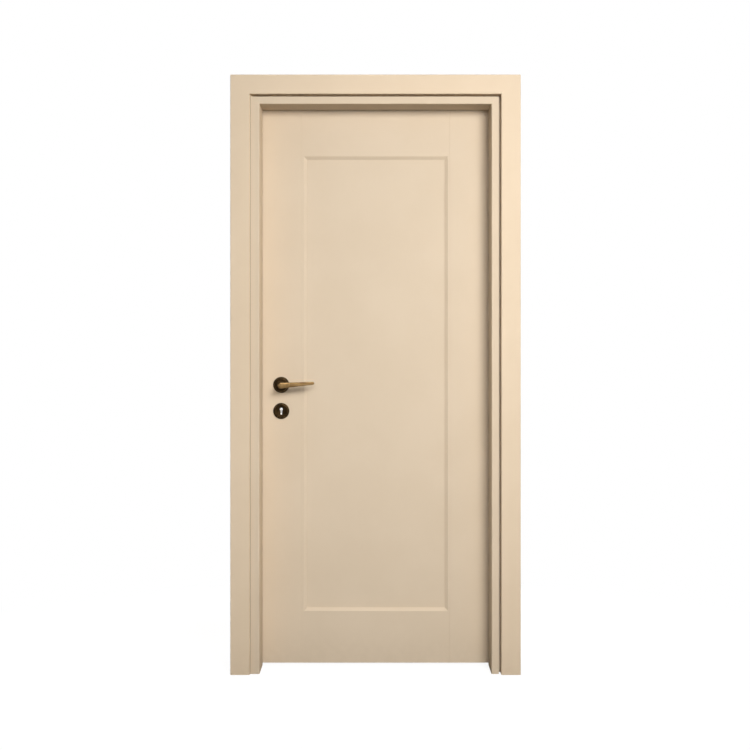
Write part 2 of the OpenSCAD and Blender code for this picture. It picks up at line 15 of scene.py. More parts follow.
import bmesh
import bpy
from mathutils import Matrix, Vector

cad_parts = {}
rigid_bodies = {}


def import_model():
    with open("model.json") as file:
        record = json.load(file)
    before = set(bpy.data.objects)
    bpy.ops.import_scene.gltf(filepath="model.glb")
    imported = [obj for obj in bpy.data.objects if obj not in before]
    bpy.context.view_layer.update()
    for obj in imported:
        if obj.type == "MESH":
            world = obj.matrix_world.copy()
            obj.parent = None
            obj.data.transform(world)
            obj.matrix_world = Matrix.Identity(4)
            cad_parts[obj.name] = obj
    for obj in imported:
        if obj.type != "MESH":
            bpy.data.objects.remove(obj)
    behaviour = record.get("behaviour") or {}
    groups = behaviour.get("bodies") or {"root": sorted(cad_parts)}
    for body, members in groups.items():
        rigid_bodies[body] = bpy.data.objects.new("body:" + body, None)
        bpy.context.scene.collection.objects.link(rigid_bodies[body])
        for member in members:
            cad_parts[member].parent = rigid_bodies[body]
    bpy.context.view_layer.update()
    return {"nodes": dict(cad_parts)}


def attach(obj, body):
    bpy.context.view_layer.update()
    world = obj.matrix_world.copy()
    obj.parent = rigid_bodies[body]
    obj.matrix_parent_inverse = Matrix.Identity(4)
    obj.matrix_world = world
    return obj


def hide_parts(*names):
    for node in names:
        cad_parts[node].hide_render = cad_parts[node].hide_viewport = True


LOG = logging.getLogger("interior_door")
LEAF_FRONT = 0.030
LEAF_REAR = 0.070
LEAF_MIDDLE = 0.050
SPINDLE = Vector((-0.789, LEAF_FRONT, 1.007))
KEYHOLE = Vector((-0.789, LEAF_FRONT, 0.913))
Colour = tuple[float, float, float]


# Finishes


class Grain(Enum):
    """The way that a board's fibres run, as the stretch of its pattern along x, y and z."""

    UPRIGHT = (1.0, 1.0, 0.02)
    LEVEL = (0.02, 1.0, 1.0)


class Sheet:
    """The nodes of one material, with short calls that add and join them."""

    def __init__(self, name: str) -> None:
        """Start a material.

        Args:
            name: The material's name.
        """
        self.material = bpy.data.materials.new(name)
        self.material.use_nodes = True
        self.tree = self.material.node_tree
        self.shader = self.tree.nodes["Principled BSDF"]
        self.place = self.tree.nodes.new("ShaderNodeTexCoord").outputs["Object"]

    def add(self, kind: str, sockets: dict | None = None, **settings: object) -> bpy.types.Node:
        """Add a node.

        Args:
            kind: The node's type.
            sockets: Values and links of its inputs, by name or number.
            **settings: The node's own properties.

        Returns:
            The new node.
        """
        node = self.tree.nodes.new(kind)
        for name, value in settings.items():
            setattr(node, name, value)
        for name, value in (sockets or {}).items():
            self.feed(node.inputs[name], value)
        return node

    def feed(self, socket: bpy.types.NodeSocket, value: object) -> None:
        """Link an output to a socket, or set the socket's value.

        Args:
            socket: The input.
            value: An output socket, or a plain value.
        """
        if isinstance(value, bpy.types.NodeSocket):
            self.tree.links.new(value, socket)
        else:
            socket.default_value = value

    def finish(self, **sockets: object) -> bpy.types.Material:
        """Set the shader's sockets, with underscores for spaces, and return the material."""
        for name, value in sockets.items():
            self.feed(self.shader.inputs[name.replace("_", " ")], value)
        return self.material

    def mapped(self, stretch: Sequence[float], centre: Sequence[float] = (0, 0, 0)) -> bpy.types.NodeSocket:
        """Give the place on the piece, centred and stretched.

        Args:
            stretch: Scale along x, y and z.
            centre: The point that becomes the pattern's origin.

        Returns:
            The vector output.
        """
        shift = [-c * s for c, s in zip(centre, stretch, strict=True)]
        node = self.add("ShaderNodeMapping", {"Vector": self.place, "Location": shift, "Scale": stretch})
        return node.outputs["Vector"]

    def noise(self, scale: float, detail: float = 3.0, place: object = None) -> bpy.types.NodeSocket:
        """Give a smooth random value from 0 to 1.

        Args:
            scale: Features per metre.
            detail: Finer octaves on top.
            place: The vector to read, or None for the plain place.

        Returns:
            The value output.
        """
        vector = self.place if place is None else place
        node = self.add("ShaderNodeTexNoise", {"Vector": vector, "Scale": scale, "Detail": detail})
        return node.outputs["Fac"]

    def range(self, value: object, source: Sequence[float], target: Sequence[float]) -> bpy.types.NodeSocket:
        """Map a value smoothly from one range to another, held at both ends.

        Args:
            value: The value output.
            source: Its lowest and highest.
            target: What they become.

        Returns:
            The mapped value.
        """
        limits = {"From Min": source[0], "From Max": source[1], "To Min": target[0], "To Max": target[1]}
        node = self.add("ShaderNodeMapRange", {"Value": value, **limits}, interpolation_type="SMOOTHSTEP")
        return node.outputs["Result"]

    def blend(self, factor: object, low: object, high: object, mode: str = "MIX") -> bpy.types.NodeSocket:
        """Mix two colours.

        Args:
            factor: The share of the second.
            low: The first colour, as three numbers or an output.
            high: The second colour.
            mode: The blend type.

        Returns:
            The colour output.
        """
        node = self.add("ShaderNodeMix", data_type="RGBA", blend_type=mode)
        for socket, value in ((node.inputs[0], factor), (node.inputs[6], low), (node.inputs[7], high)):
            self.feed(socket, (*value, 1.0) if isinstance(value, tuple) else value)
        return node.outputs[2]

    def maths(self, operation: str, first: object, second: object = 0.0) -> bpy.types.NodeSocket:
        """Give the result of one operation on two values.

        Args:
            operation: The operation's name.
            first: A value or an output.
            second: A value or an output.

        Returns:
            The value output.
        """
        return self.add("ShaderNodeMath", {0: first, 1: second}, operation=operation).outputs[0]

    def bump(self, height: object, strength: float, depth: float, under: object = None) -> bpy.types.NodeSocket:
        """Turn a height into a normal.

        Args:
            height: The value output, from 0 to 1.
            strength: Share of the bump that shows.
            depth: Depth in metres of a height of 1.
            under: The normal of a coarser bump below, or None.

        Returns:
            The normal output.
        """
        sockets = {"Height": height, "Strength": strength, "Distance": depth}
        if under is not None:
            sockets["Normal"] = under
        return self.add("ShaderNodeBump", sockets).outputs["Normal"]


@dataclass(frozen=True)
class CreamPaint:
    """Satin cream lacquer, sprayed on boards whose fibres still show faintly, with painted shade inside the opening
    and along a seam where asked.
    """

    name: str
    grain: Grain
    tone: Colour = (0.790, 0.632, 0.455)
    shade: Colour = (0.767, 0.610, 0.435)
    soiled: Colour = (0.640, 0.500, 0.345)
    # When set, the faces inside the opening take this darker, greyer tone as painted shade in the reveal.
    inner: Colour | None = None
    sheen: float = 0.2
    seam: float | None = None
    # The colour of the painted shadow line along the seam with the casing.
    painted_seam_shade: Colour = (0.330, 0.250, 0.165)

    def material(self) -> bpy.types.Material:
        """Build the material."""
        sheet = Sheet(self.name)
        along = sheet.mapped(self.grain.value)
        fibres = sheet.noise(420.0, 4.0, along)
        clouds = sheet.noise(5.0, 4.0)
        colour = sheet.blend(sheet.range(clouds, (0.3, 0.7), (0.0, 1.0)), self.shade, self.tone)
        colour = sheet.blend(sheet.range(fibres, (0.35, 0.65), (0.0, 0.22)), colour, self.shade)
        split = sheet.add("ShaderNodeSeparateXYZ", {"Vector": sheet.place})
        # Painted shade: behind the jamb's front, the faces inside the opening blend to the darker inner tone, in place
        # of the reveal's shade.
        if self.inner is not None:
            colour = sheet.blend(sheet.range(split.outputs["Y"], (-0.069, -0.060), (0.0, 1.0)), colour, self.inner)
        # Painted shadow: a thin dark line along the seam where the jamb meets the casing, in place of the shade in
        # that crevice.
        if self.seam is not None:
            off = sheet.maths("ABSOLUTE", sheet.maths("SUBTRACT", split.outputs["X"], self.seam))
            colour = sheet.blend(sheet.range(off, (0.001, 0.003), (0.85, 0.0)), colour, self.painted_seam_shade)
        height = split.outputs["Z"]
        scuffs = sheet.maths("MULTIPLY", sheet.noise(38.0, 6.0), sheet.range(height, (0.0, 0.16), (0.55, 0.0)))
        colour = sheet.blend(scuffs, colour, self.soiled)
        peel = sheet.bump(sheet.noise(650.0, 2.0), 0.10, 0.0006)
        relief = sheet.bump(fibres, 0.10, 0.0005, peel)
        gloss = sheet.range(sheet.noise(22.0, 5.0), (0.3, 0.7), (0.60, 0.72))
        return sheet.finish(Base_Color=colour, Roughness=gloss, Specular_IOR_Level=self.sheen, Normal=relief)


@dataclass(frozen=True)
class PatinatedBronze:
    """Dark oiled bronze, turned in fine rings about an axis through the leaf, and rubbed on its rims, where the
    lighter rubbed rings also stand in as painted highlights.
    """

    name: str
    axis: Vector
    rims: tuple[float, ...]
    dark: Colour = (0.011, 0.0065, 0.003)
    warm: Colour = (0.030, 0.017, 0.0065)
    # Lighter worn bronze on the proud rims, which also serves as a painted highlight on them.
    rubbed: Colour = (0.220, 0.145, 0.070)

    def material(self) -> bpy.types.Material:
        """Build the material."""
        sheet = Sheet(self.name)
        spot = sheet.mapped((1.0, 0.0, 1.0), (self.axis.x, 0.0, self.axis.z))
        radius = sheet.add("ShaderNodeVectorMath", {0: spot}, operation="LENGTH").outputs["Value"]
        patina = sheet.noise(160.0, 5.0)
        colour = sheet.blend(sheet.range(patina, (0.35, 0.68), (0.0, 1.0)), self.dark, self.warm)
        worn = sheet.range(sheet.noise(95.0, 4.0), (0.42, 0.66), (0.15, 0.75))
        # Rubbed rims: thin lighter rings at the rims' radii, worn bronze that also stands in as painted highlights.
        for rim in self.rims:
            off = sheet.maths("ABSOLUTE", sheet.maths("SUBTRACT", radius, rim))
            rim_rub_and_highlight = sheet.maths("MULTIPLY", sheet.range(off, (0.0, 0.0013), (1.0, 0.0)), worn)
            colour = sheet.blend(rim_rub_and_highlight, colour, self.rubbed)
        turned = sheet.maths("SINE", sheet.maths("MULTIPLY", radius, 9000.0))
        relief = sheet.bump(sheet.noise(420.0, 4.0), 0.16, 0.0005, sheet.bump(turned, 0.10, 0.00012))
        gloss = sheet.range(patina, (0.3, 0.7), (0.30, 0.46))
        return sheet.finish(Base_Color=colour, Metallic=1.0, Roughness=gloss, Normal=relief)


@dataclass(frozen=True)
class AntiqueBrass:
    """Brass browned with age, drawn lengthways, brighter where hands have rubbed it."""

    name: str
    stretch: Colour = (0.12, 1.0, 1.0)
    brown: Colour = (0.098, 0.052, 0.019)
    gold: Colour = (0.220, 0.138, 0.058)
    bright: Colour = (0.370, 0.250, 0.118)
    roughness: tuple[float, float] = (0.22, 0.36)

    def material(self) -> bpy.types.Material:
        """Build the material."""
        sheet = Sheet(self.name)
        along = sheet.mapped(self.stretch)
        patina = sheet.noise(130.0, 5.0, along)
        lines = sheet.noise(1400.0, 3.0, along)
        colour = sheet.blend(sheet.range(patina, (0.30, 0.62), (0.0, 1.0)), self.brown, self.gold)
        colour = sheet.blend(sheet.range(sheet.noise(60.0, 4.0), (0.55, 0.75), (0.0, 0.6)), colour, self.bright)
        relief = sheet.bump(lines, 0.12, 0.0003, sheet.bump(sheet.noise(300.0, 3.0), 0.08, 0.0004))
        gloss = sheet.range(lines, (0.3, 0.7), self.roughness)
        return sheet.finish(Base_Color=colour, Metallic=1.0, Roughness=gloss, Normal=relief)


@dataclass(frozen=True)
class BrushedSteel:
    """Satin steel with fine upright scratches and a faint stain."""

    name: str
    light: Colour = (0.560, 0.545, 0.515)
    stain: Colour = (0.380, 0.345, 0.300)

    def material(self) -> bpy.types.Material:
        """Build the material."""
        sheet = Sheet(self.name)
        scratches = sheet.noise(1500.0, 3.0, sheet.mapped((1.0, 1.0, 0.06)))
        stains = sheet.noise(90.0, 6.0)
        colour = sheet.blend(sheet.range(stains, (0.45, 0.75), (0.0, 0.8)), self.light, self.stain)
        gloss = sheet.range(scratches, (0.3, 0.7), (0.26, 0.44))
        relief = sheet.bump(scratches, 0.12, 0.0003)
        return sheet.finish(Base_Color=colour, Metallic=1.0, Roughness=gloss, Normal=relief)


@dataclass(frozen=True)
class SealRubber:
    """Dark brown extruded rubber with a chalky bloom."""

    name: str
    deep: Colour = (0.040, 0.030, 0.022)
    bloom: Colour = (0.085, 0.070, 0.055)

    def material(self) -> bpy.types.Material:
        """Build the material."""
        sheet = Sheet(self.name)
        chalk = sheet.noise(240.0, 5.0)
        colour = sheet.blend(sheet.range(chalk, (0.4, 0.75), (0.0, 1.0)), self.deep, self.bloom)
        relief = sheet.bump(sheet.noise(1800.0, 2.0), 0.2, 0.0002)
        gloss = sheet.range(chalk, (0.3, 0.7), (0.55, 0.75))
        return sheet.finish(Base_Color=colour, Roughness=gloss, Normal=relief)


# Tools for new pieces


def clear_selection() -> None:
    """Leave edit mode and deselect every object."""
    if bpy.context.object is not None and bpy.context.object.mode != "OBJECT":
        bpy.ops.object.mode_set(mode="OBJECT")
    bpy.ops.object.select_all(action="DESELECT")


def start(name: str) -> bpy.types.Object:
    """Name the primitive that was just added, put its place in its mesh and enter edit mode.

    Args:
        name: The piece's name.

    Returns:
        The piece, with its whole mesh selected.
    """
    piece = bpy.context.object
    piece.name = name
    piece.data.name = name
    bpy.ops.object.transform_apply(location=True, rotation=True, scale=True)
    bpy.ops.object.mode_set(mode="EDIT")
    bpy.ops.mesh.select_all(action="SELECT")
    return piece


def disc(name: str, radius: float, centre: Vector, turn: Vector, filled: bool = True, sides: int = 64) -> bpy.types.Object:
    """Start a piece as a flat circle.

    Args:
        name: The piece's name.
        radius: The circle's radius.
        centre: Its centre.
        turn: Its turn about x, y and z, from facing up.
        filled: Whether it has a face.
        sides: Its number of sides.

    Returns:
        The piece in edit mode.
    """
    clear_selection()
    fill = "NGON" if filled else "NOTHING"
    bpy.ops.mesh.primitive_circle_add(vertices=sides, radius=radius, fill_type=fill, location=centre, rotation=turn)
    return start(name)


def block(name: str, low: Sequence[float], high: Sequence[float]) -> bpy.types.Object:
    """Start a piece as a cube stretched between two corners.

    Args:
        name: The piece's name.
        low: Its lowest corner.
        high: Its highest corner.

    Returns:
        The piece in edit mode.
    """
    clear_selection()
    middle = [(a + b) / 2 for a, b in zip(low, high, strict=True)]
    size = [b - a for a, b in zip(low, high, strict=True)]
    bpy.ops.mesh.primitive_cube_add(size=1.0, location=middle, scale=size)
    return start(name)


def push(move: Sequence[float], scale: Sequence[float] = (1, 1, 1), about: Sequence[float] = (0, 0, 0)) -> None:
    """Extrude what is selected, move the new end and scale it.

    Args:
        move: How far it goes.
        scale: Its growth along x, y and z.
        about: The point that the growth leaves in place.
    """
    bpy.ops.mesh.extrude_region_move(TRANSFORM_OT_translate={"value": tuple(move)})
    bpy.ops.transform.resize(value=tuple(scale), center_override=tuple(about))


def pick(piece: bpy.types.Object, kind: str, chosen: Callable[[bmesh.types.BMEdge], bool]) -> int:
    """Select the edges or faces that a test picks out.

    Args:
        piece: The piece, in edit mode.
        kind: "edges" or "faces".
        chosen: The test, given one edge or face.

    Returns:
        How many were found.
    """
    bpy.ops.mesh.select_all(action="DESELECT")
    bpy.ops.mesh.select_mode(type="EDGE" if kind == "edges" else "FACE")
    mesh = bmesh.from_edit_mesh(piece.data)
    found = [part for part in getattr(mesh, kind) if chosen(part)]
    for part in found:
        part.select_set(True)
    bmesh.update_edit_mesh(piece.data)
    return len(found)


def close_up(piece: bpy.types.Object, smooth: float = 35.0) -> bpy.types.Object:
    """Merge doubles, turn the faces outwards, leave edit mode and shade by angle.

    Args:
        piece: The piece in edit mode.
        smooth: Edges sharper than this angle stay crisp, in degrees.

    Returns:
        The piece in object mode.
    """
    bpy.ops.mesh.select_mode(type="VERT")
    bpy.ops.mesh.select_all(action="SELECT")
    bpy.ops.mesh.remove_doubles(threshold=0.000005)
    bpy.ops.mesh.normals_make_consistent(inside=False)
    bpy.ops.object.mode_set(mode="OBJECT")
    bpy.ops.object.shade_smooth_by_angle(angle=math.radians(smooth))
    return piece


def modify(piece: bpy.types.Object, kind: str, **settings: object) -> None:
    """Add a modifier to a piece and apply it.

    Args:
        piece: The piece in object mode.
        kind: The modifier's type.
        **settings: Its properties.
    """
    clear_selection()
    piece.select_set(True)
    bpy.context.view_layer.objects.active = piece
    modifier = piece.modifiers.new("shape", kind)
    for name, value in settings.items():
        setattr(modifier, name, value)
    bpy.ops.object.modifier_apply(modifier=modifier.name)


def combine(piece: bpy.types.Object, other: bpy.types.Object, operation: str) -> None:
    """Unite a piece with another, or cut the other out of it, and remove the other.

    Args:
        piece: The piece that stays.
        other: The one that goes.
        operation: "UNION" or "DIFFERENCE".
    """
    modify(piece, "BOOLEAN", object=other, operation=operation, solver="EXACT")
    bpy.data.objects.remove(other)


def copied(piece: bpy.types.Object, name: str) -> bpy.types.Object:
    """Copy a piece with its own mesh, and leave only the copy selected.

    Args:
        piece: The piece to copy.
        name: The copy's name.

    Returns:
        The copy.
    """
    clear_selection()
    twin = piece.copy()
    twin.data = piece.data.copy()
    twin.name = name
    twin.data.name = name
    bpy.context.scene.collection.objects.link(twin)
    twin.select_set(True)
    bpy.context.view_layer.objects.active = twin
    return twin


def mirrored(piece: bpy.types.Object, name: str, plane_y: float = LEAF_MIDDLE) -> bpy.types.Object:
    """Copy a piece to the other face of the leaf.

    Args:
        piece: The piece on the front.
        name: The copy's name.
        plane_y: The mirror plane's place.

    Returns:
        The copy, in object mode.
    """
    twin = copied(piece, name)
    bpy.ops.object.mode_set(mode="EDIT")
    bpy.ops.mesh.select_all(action="SELECT")
    bpy.ops.transform.resize(value=(1, -1, 1), center_override=(0, plane_y, 0))
    bpy.ops.mesh.normals_make_consistent(inside=False)
    bpy.ops.object.mode_set(mode="OBJECT")
    return twin


def joined(pieces: Iterable[bpy.types.Object], name: str) -> bpy.types.Object:
    """Join pieces into one object.

    Args:
        pieces: The pieces.
        name: The new name.

    Returns:
        The joined piece.
    """
    clear_selection()
    for piece in pieces:
        piece.select_set(True)
        bpy.context.view_layer.objects.active = piece
    bpy.ops.object.join()
    whole = bpy.context.object
    whole.name = name
    whole.data.name = name
    return whole


@dataclass
class Kit:
    """Hands a finished piece its material and its body."""

    materials: dict[str, bpy.types.Material] = field(default_factory=dict)

    def dress(self, piece: bpy.types.Object, finish: str) -> None:
        """Give a piece one finish all over.

        Args:
            piece: The piece.
            finish: The finish's key.
        """
        piece.data.materials.clear()
        piece.data.materials.append(self.materials[finish])

    def place(self, piece: bpy.types.Object, body: str, finish: str, slot: str, *nodes: str) -> None:
        """Finish a new piece and let it ride.

        Args:
            piece: The piece.
            body: The body that carries it.
            finish: The finish's key.
            slot: The record's material slot; not used.
            *nodes: The solids that it stands for.
        """
        self.dress(piece, finish)
        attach(piece, body)
        if nodes:
            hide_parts(*nodes)
        LOG.info("%s rides on %s, %d faces", piece.name, body, len(piece.data.polygons))


# Sub-assemblies


@dataclass
class Woodwork:
    """The painted frame, casings and leaf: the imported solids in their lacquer."""

    boards: dict[str, tuple[str, ...]] = field(default_factory=lambda: {
        "casing_level": ("front_casing_head", "rear_casing_head"),
        "casing_upright": (
            "front_casing_hinge_side", "front_casing_lock_side", "rear_casing_hinge_side", "rear_casing_lock_side",
        ),
        "jamb_level": ("head_jamb",),
        "jamb_hinge_side": ("hinge_jamb",),
        "jamb_lock_side": ("lock_jamb",),
        "leaf_level": (
            "top_rail", "bottom_rail", "front_bead_top", "front_bead_bottom", "rear_bead_top", "rear_bead_bottom",
        ),
        "leaf_upright": (
            "hinge_stile", "lock_stile", "centre_panel",
            "front_bead_hinge_side", "front_bead_lock_side", "rear_bead_hinge_side", "rear_bead_lock_side",
        ),
    })

    def dress(self, kit: Kit, nodes: dict[str, bpy.types.Object]) -> None:
        """Paint each board along its own fibres.

        Args:
            kit: The finishes.
            nodes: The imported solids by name.
        """
        for finish, names in self.boards.items():
            for name in names:
                kit.dress(nodes[name], finish)
                LOG.info("%s is painted", name)


@dataclass
class Ironmongery:
    """The solids of the lock, the strike plate and the seals, in metal and rubber."""

    finishes: dict[str, str] = field(default_factory=lambda: {
        "hinge_side_seal": "rubber", "lock_side_seal": "rubber", "head_seal": "rubber",
        "strike_plate": "steel", "lock_case": "steel", "spindle": "steel",
        "lock_forend": "lock_brass", "latch_bolt": "lock_brass", "dead_bolt": "lock_brass",
    })

    def dress(self, kit: Kit, nodes: dict[str, bpy.types.Object]) -> None:
        """Give each solid its finish.

        Args:
            kit: The finishes.
            nodes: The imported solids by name.
        """
        for name, finish in self.finishes.items():
            kit.dress(nodes[name], finish)
            LOG.info("%s is finished in %s", name, finish)


@dataclass
class Turning:
    """A plate turned about an axis through the leaf: its outline is drawn as radius and height."""

    name: str
    axis: Vector
    outline: tuple[tuple[float, float], ...]
    bore: float = 0.0
    sides: int = 96

    def build(self) -> bpy.types.Object:
        """Turn the plate on the front of the leaf.

        Returns:
            The plate in object mode, closed at its back.
        """
        radius, height = self.outline[0]
        piece = disc(self.name, radius, self.axis - Vector((0, height, 0)), (math.pi / 2, 0, 0), False, self.sides)
        bpy.ops.mesh.select_mode(type="EDGE")
        for wide, high in self.outline[1:]:
            grow = wide / radius
            push((0, height - high, 0), (grow, 1, grow), self.axis)
            radius, height = wide, high
        if self.bore:
            grow = self.bore / radius
            push((0, 0, 0), (grow, 1, grow), self.axis)
            push((0, height, 0))
            self._select_open(piece)
            bpy.ops.mesh.bridge_edge_loops()
        else:
            bpy.ops.mesh.edge_face_add()
            self._select_open(piece)
            bpy.ops.mesh.edge_face_add()
        return close_up(piece, 30.0)

    @staticmethod
    def _select_open(piece: bpy.types.Object) -> None:
        """Select the edges that bound the open mesh."""
        pick(piece, "edges", lambda edge: edge.is_boundary)


def rounded_step(radius: float, base: float, height: float, rounding: float, steps: int = 5) -> list[tuple[float, float]]:
    """Give the outline of a turned step whose upper rim is rounded.

    Args:
        radius: The step's radius.
        base: The height that it rises from.
        height: Its own top.
        rounding: The radius of its rim.
        steps: Points along the rounding.

    Returns:
        Pairs of radius and height.
    """
    points = [(radius, base), (radius, height - rounding)]
    for step in range(1, steps + 1):
        angle = math.pi / 2 * step / steps
        points.append((radius - rounding * (1 - math.cos(angle)), height - rounding * (1 - math.sin(angle))))
    return points


@dataclass
class RoseSet:
    """The two rosettes and the two key escutcheons, turned in steps, with their keyholes."""

    radius: float = 0.029
    rim_height: float = 0.0045
    middle_radius: float = 0.0245
    rose_middle: float = 0.009
    rose_rounding: float = 0.004
    plate_middle: float = 0.007
    plate_rounding: float = 0.0015
    collar_radius: float = 0.013
    collar_height: float = 0.012
    bore: float = 0.00775
    key_head: float = 0.0055
    key_rise: float = 0.0065
    key_slot: float = 0.00325
    key_drop: float = 0.013

    def _rim(self) -> list[tuple[float, float]]:
        """Give the outline of the rim that all four share, with its small foot."""
        return [(self.radius - 0.0004, 0.0)] + rounded_step(self.radius, 0.0004, self.rim_height, 0.002)

    def _keyhole(self) -> bpy.types.Object:
        """Model the keyhole's cutter, a round head over a slot with a round foot."""
        facing = (math.pi / 2, 0, 0)
        head = disc("key_head", self.key_head, KEYHOLE + Vector((0, 0.002, self.key_rise)), facing, True, 40)
        push((0, -0.02, 0))
        close_up(head)
        foot = disc("key_foot", self.key_slot, KEYHOLE + Vector((0, 0.002, self.key_slot - self.key_drop)), facing, True, 32)
        push((0, -0.02, 0))
        close_up(foot)
        low = KEYHOLE + Vector((-self.key_slot, -0.018, self.key_slot - self.key_drop))
        high = KEYHOLE + Vector((self.key_slot, 0.002, self.key_rise))
        slot = close_up(block("key_slot", low, high))
        combine(slot, head, "UNION")
        combine(slot, foot, "UNION")
        return slot

    def build(self, kit: Kit) -> None:
        """Turn the plates, cut the keyholes and mirror both to the rear.

        Args:
            kit: The finishes.
        """
        rose_line = self._rim() + rounded_step(self.middle_radius, self.rim_height, self.rose_middle, self.rose_rounding)
        rose_line += rounded_step(self.collar_radius, self.rose_middle, self.collar_height, 0.0015)
        rose = Turning("front_rose", SPINDLE, tuple(rose_line), self.bore).build()
        plate_line = self._rim() + rounded_step(self.middle_radius, self.rim_height, self.plate_middle, self.plate_rounding)
        plate_line += [(self.middle_radius - 0.004, self.plate_middle), (self.middle_radius - 0.006, self.plate_middle - 0.0006)]
        plate = Turning("front_key_plate", KEYHOLE, tuple(plate_line)).build()
        combine(plate, self._keyhole(), "DIFFERENCE")
        modify(plate, "BEVEL", width=0.0004, segments=2, limit_method="ANGLE", angle_limit=math.radians(60))
        clear_selection()
        plate.select_set(True)
        bpy.context.view_layer.objects.active = plate
        bpy.ops.object.shade_smooth_by_angle(angle=math.radians(30))
        rear_rose = mirrored(rose, "rear_rose")
        rear_plate = mirrored(plate, "rear_key_plate")
        kit.place(rose, "door_leaf", "rose_bronze", "dark_bronze", "front_rosette")
        kit.place(rear_rose, "door_leaf", "rose_bronze", "dark_bronze", "rear_rosette")
        kit.place(plate, "door_leaf", "plate_bronze", "dark_bronze", "front_key_escutcheon")
        kit.place(rear_plate, "door_leaf", "plate_bronze", "dark_bronze", "rear_key_escutcheon")


@dataclass
class LeverPair:
    """The cast levers: a round neck that flares into a grip, which tapers to a rounded tip."""

    neck_radius: float = 0.0075
    neck_start: float = 0.001
    projection: float = 0.062
    reach: float = 0.122
    root: tuple[float, float] = (0.010, 0.014)
    root_shift: float = 0.0025
    tip: tuple[float, float] = (0.005, 0.008)
    tip_rise: float = 0.008
    setback: float = 0.005
    spare: float = 0.0004
    voxel: float = 0.0007

    def _stations(self) -> list[tuple[float, float, float, float, float]]:
        """List the grip's sections as reach, rise, distance from the leaf, half height and half depth."""
        root_out = self.projection - self.root[1] / 2
        tip_out = self.projection - self.setback - self.tip[1] / 2
        tip_at = self.reach - self.tip[0]
        found = []
        for angle in (12, 35, 60, 90):
            sine = math.sin(math.radians(angle))
            cosine = math.cos(math.radians(angle))
            along = self.root_shift - self.root[0] * cosine
            deep = self.root[1] / 2 * (0.55 + 0.45 * sine)
            found.append((along, 0.0, root_out, self.root[0] * sine, deep))
        for share in (0.25, 0.5, 0.75, 1.0):
            along = self.root_shift + (tip_at - self.root_shift) * share
            high = self.root[0] + (self.tip[0] - self.root[0]) * share
            deep = (self.root[1] + (self.tip[1] - self.root[1]) * share) / 2
            found.append((along, self.tip_rise * share, root_out + (tip_out - root_out) * share, high, deep))
        for angle in (60, 30, 10):
            sine = math.sin(math.radians(angle))
            cosine = math.cos(math.radians(angle))
            deep = self.tip[1] / 2 * (0.6 + 0.4 * sine)
            found.append((tip_at + self.tip[0] * cosine, self.tip_rise, tip_out, self.tip[0] * sine, deep))
        return found

    def _grip(self) -> bpy.types.Object:
        """Draw the grip from a rounded plate through its sections, with the height that smoothing takes off."""
        stations = [(*place, high + self.spare, deep) for *place, high, deep in self._stations()]
        along, rise, out, high, deep = stations[0]
        centre = SPINDLE + Vector((along, -out, rise))
        clear_selection()
        bpy.ops.mesh.primitive_plane_add(size=2.0, location=centre, rotation=(0, math.pi / 2, 0), scale=(1, 1, 1))
        grip = start("front_grip")
        bpy.ops.transform.resize(value=(1, deep, high), center_override=centre)
        bpy.ops.mesh.bevel(offset=0.42 * min(deep, high), segments=4, affect="VERTICES")
        for along, rise, out, next_high, next_deep in stations[1:]:
            step = SPINDLE + Vector((along, -out, rise)) - centre
            centre = centre + step
            push(step, (1, next_deep / deep, next_high / high), centre)
            high, deep = next_high, next_deep
        return close_up(grip)

    def _neck(self) -> bpy.types.Object:
        """Draw the neck out of the leaf, flaring where it meets the grip."""
        centre = SPINDLE - Vector((0, self.neck_start, 0))
        neck = disc("front_neck", self.neck_radius, centre, (math.pi / 2, 0, 0), True, 48)
        grown = 1.0
        lengths = ((0.036, 1.0), (0.041, 0.97), (0.0465, 1.0), (0.051, 1.06), (0.056, 1.06))
        reached = self.neck_start
        for out, size in lengths:
            push((0, reached - out, 0), (size / grown, 1, size / grown), SPINDLE)
            reached, grown = out, size
        return close_up(neck)

    def build(self, kit: Kit) -> None:
        """Cast the front lever, and mirror it to the rear.

        Args:
            kit: The finishes.
        """
        lever = self._grip()
        combine(lever, self._neck(), "UNION")
        modify(lever, "REMESH", mode="VOXEL", voxel_size=self.voxel, use_smooth_shade=True)
        modify(lever, "SMOOTH", factor=0.5, iterations=6)
        lever.name = "front_lever_casting"
        rear = mirrored(lever, "rear_lever_casting")
        kit.place(lever, "handle", "antique_brass", "antique_brass", "front_lever")
        kit.place(rear, "handle", "antique_brass", "antique_brass", "rear_lever")


